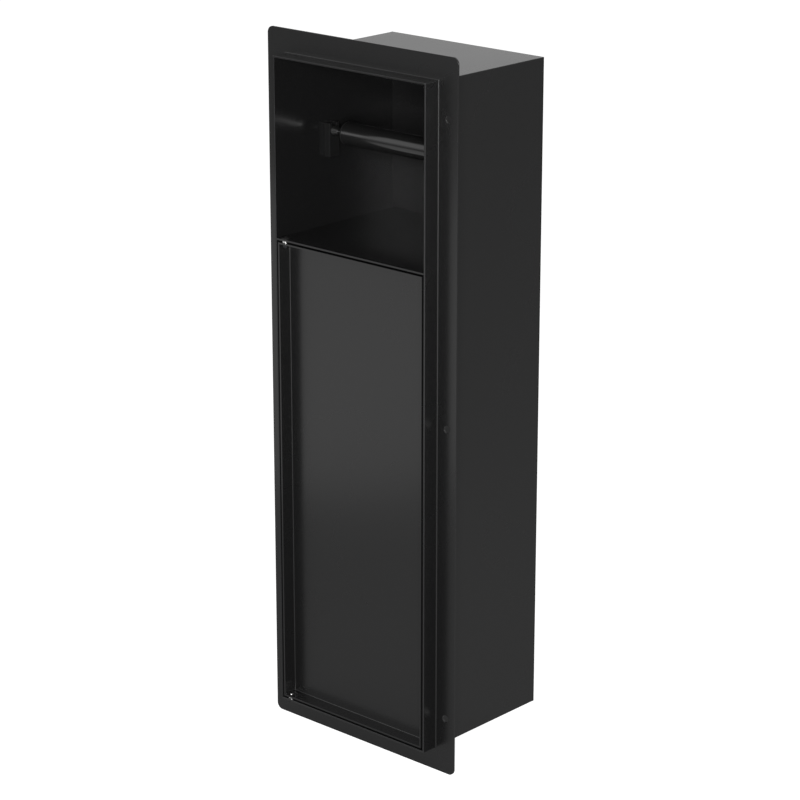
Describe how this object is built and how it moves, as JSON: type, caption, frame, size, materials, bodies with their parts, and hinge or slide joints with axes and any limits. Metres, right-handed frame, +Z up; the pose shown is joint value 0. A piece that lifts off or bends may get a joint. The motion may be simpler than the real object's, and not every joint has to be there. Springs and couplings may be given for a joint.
{
  "type": "recessed wall cabinet",
  "caption": "Tall narrow steel cabinet recessed in a wall: open niche with a lift-out paper roller above, flush touch-latched door for a tile below, flange with fixing holes.",
  "frame": {"origin": "centre of the flange's rear face, the plane that lies on the wall", "axes": "+X to the right, +Y into the wall, +Z up"},
  "size_m": [0.219, 0.152, 0.643],
  "materials": {
    "black_coat": "satin black powder coat",
    "tray_coat": "satin black powder coat",
    "polished_steel": "polished",
    "plain_steel": "zinc plated",
    "black_plastic": "moulded",
    "grey_plastic": "moulded",
    "roller_coat": "semi-gloss black",
    "magnet": "nickel plated",
    "pad_rubber": "soft"
  },
  "bodies": {
    "cabinet": {"left_side_wall": "black_coat", "right_side_wall": "black_coat", "top_wall": "black_coat", "bottom_wall": "black_coat", "back_wall": "black_coat", "divider_shelf": "black_coat", "mounting_flange": "black_coat", "roller_bracket_right": "black_coat", "roller_bracket_left": "black_coat", "pivot_bush_bottom": "black_plastic", "pivot_bush_top": "black_plastic", "latch_bracket": "black_coat", "latch_housing": "grey_plastic", "latch_bezel": "grey_plastic", "latch_spring": "plain_steel", "latch_screws": "plain_steel", "latch_nuts": "plain_steel", "stop_tab_upper": "black_coat", "stop_pad_upper": "pad_rubber", "stop_tab_lower": "black_coat", "stop_pad_lower": "pad_rubber"},
    "door": {"door_tray": "tray_coat", "pivot_pin_bottom": "polished_steel", "pivot_screw_top": "plain_steel", "pivot_nut_top": "plain_steel", "pivot_washer_bottom": "polished_steel", "pivot_washer_top": "polished_steel", "strike_plate": "plain_steel"},
    "plunger": {"latch_plunger": "grey_plastic", "latch_magnet": "magnet"},
    "rod": {"roller_rod": "roller_coat", "rod_collar_right": "roller_coat", "rod_collar_left": "roller_coat"},
    "roller": {"roller_tube": "roller_coat", "roller_cap_right": "black_plastic", "roller_cap_left": "black_plastic"}
  },
  "joints": [
    {"name": "door_hinge", "type": "hinge", "parent": "cabinet", "child": "door", "pos_m": [-0.079, -0.0135, -0.0806], "axis": [0, 0, -1], "range_deg": [0, 110]},
    {"name": "latch_press", "type": "slide", "parent": "cabinet", "child": "plunger", "axis": [0, 1, 0], "range_m": [0, 0.003], "stiffness_N_per_m": 600, "springref_m": -0.004},
    {"name": "roller_lift", "type": "slide", "parent": "cabinet", "child": "rod", "axis": [0, 0, 1], "range_m": [0, 0.012]},
    {"name": "roller_spin", "type": "hinge", "parent": "rod", "child": "roller", "pos_m": [0, 0.0503, 0.2245], "axis": [1, 0, 0], "continuous": true}
  ]
}
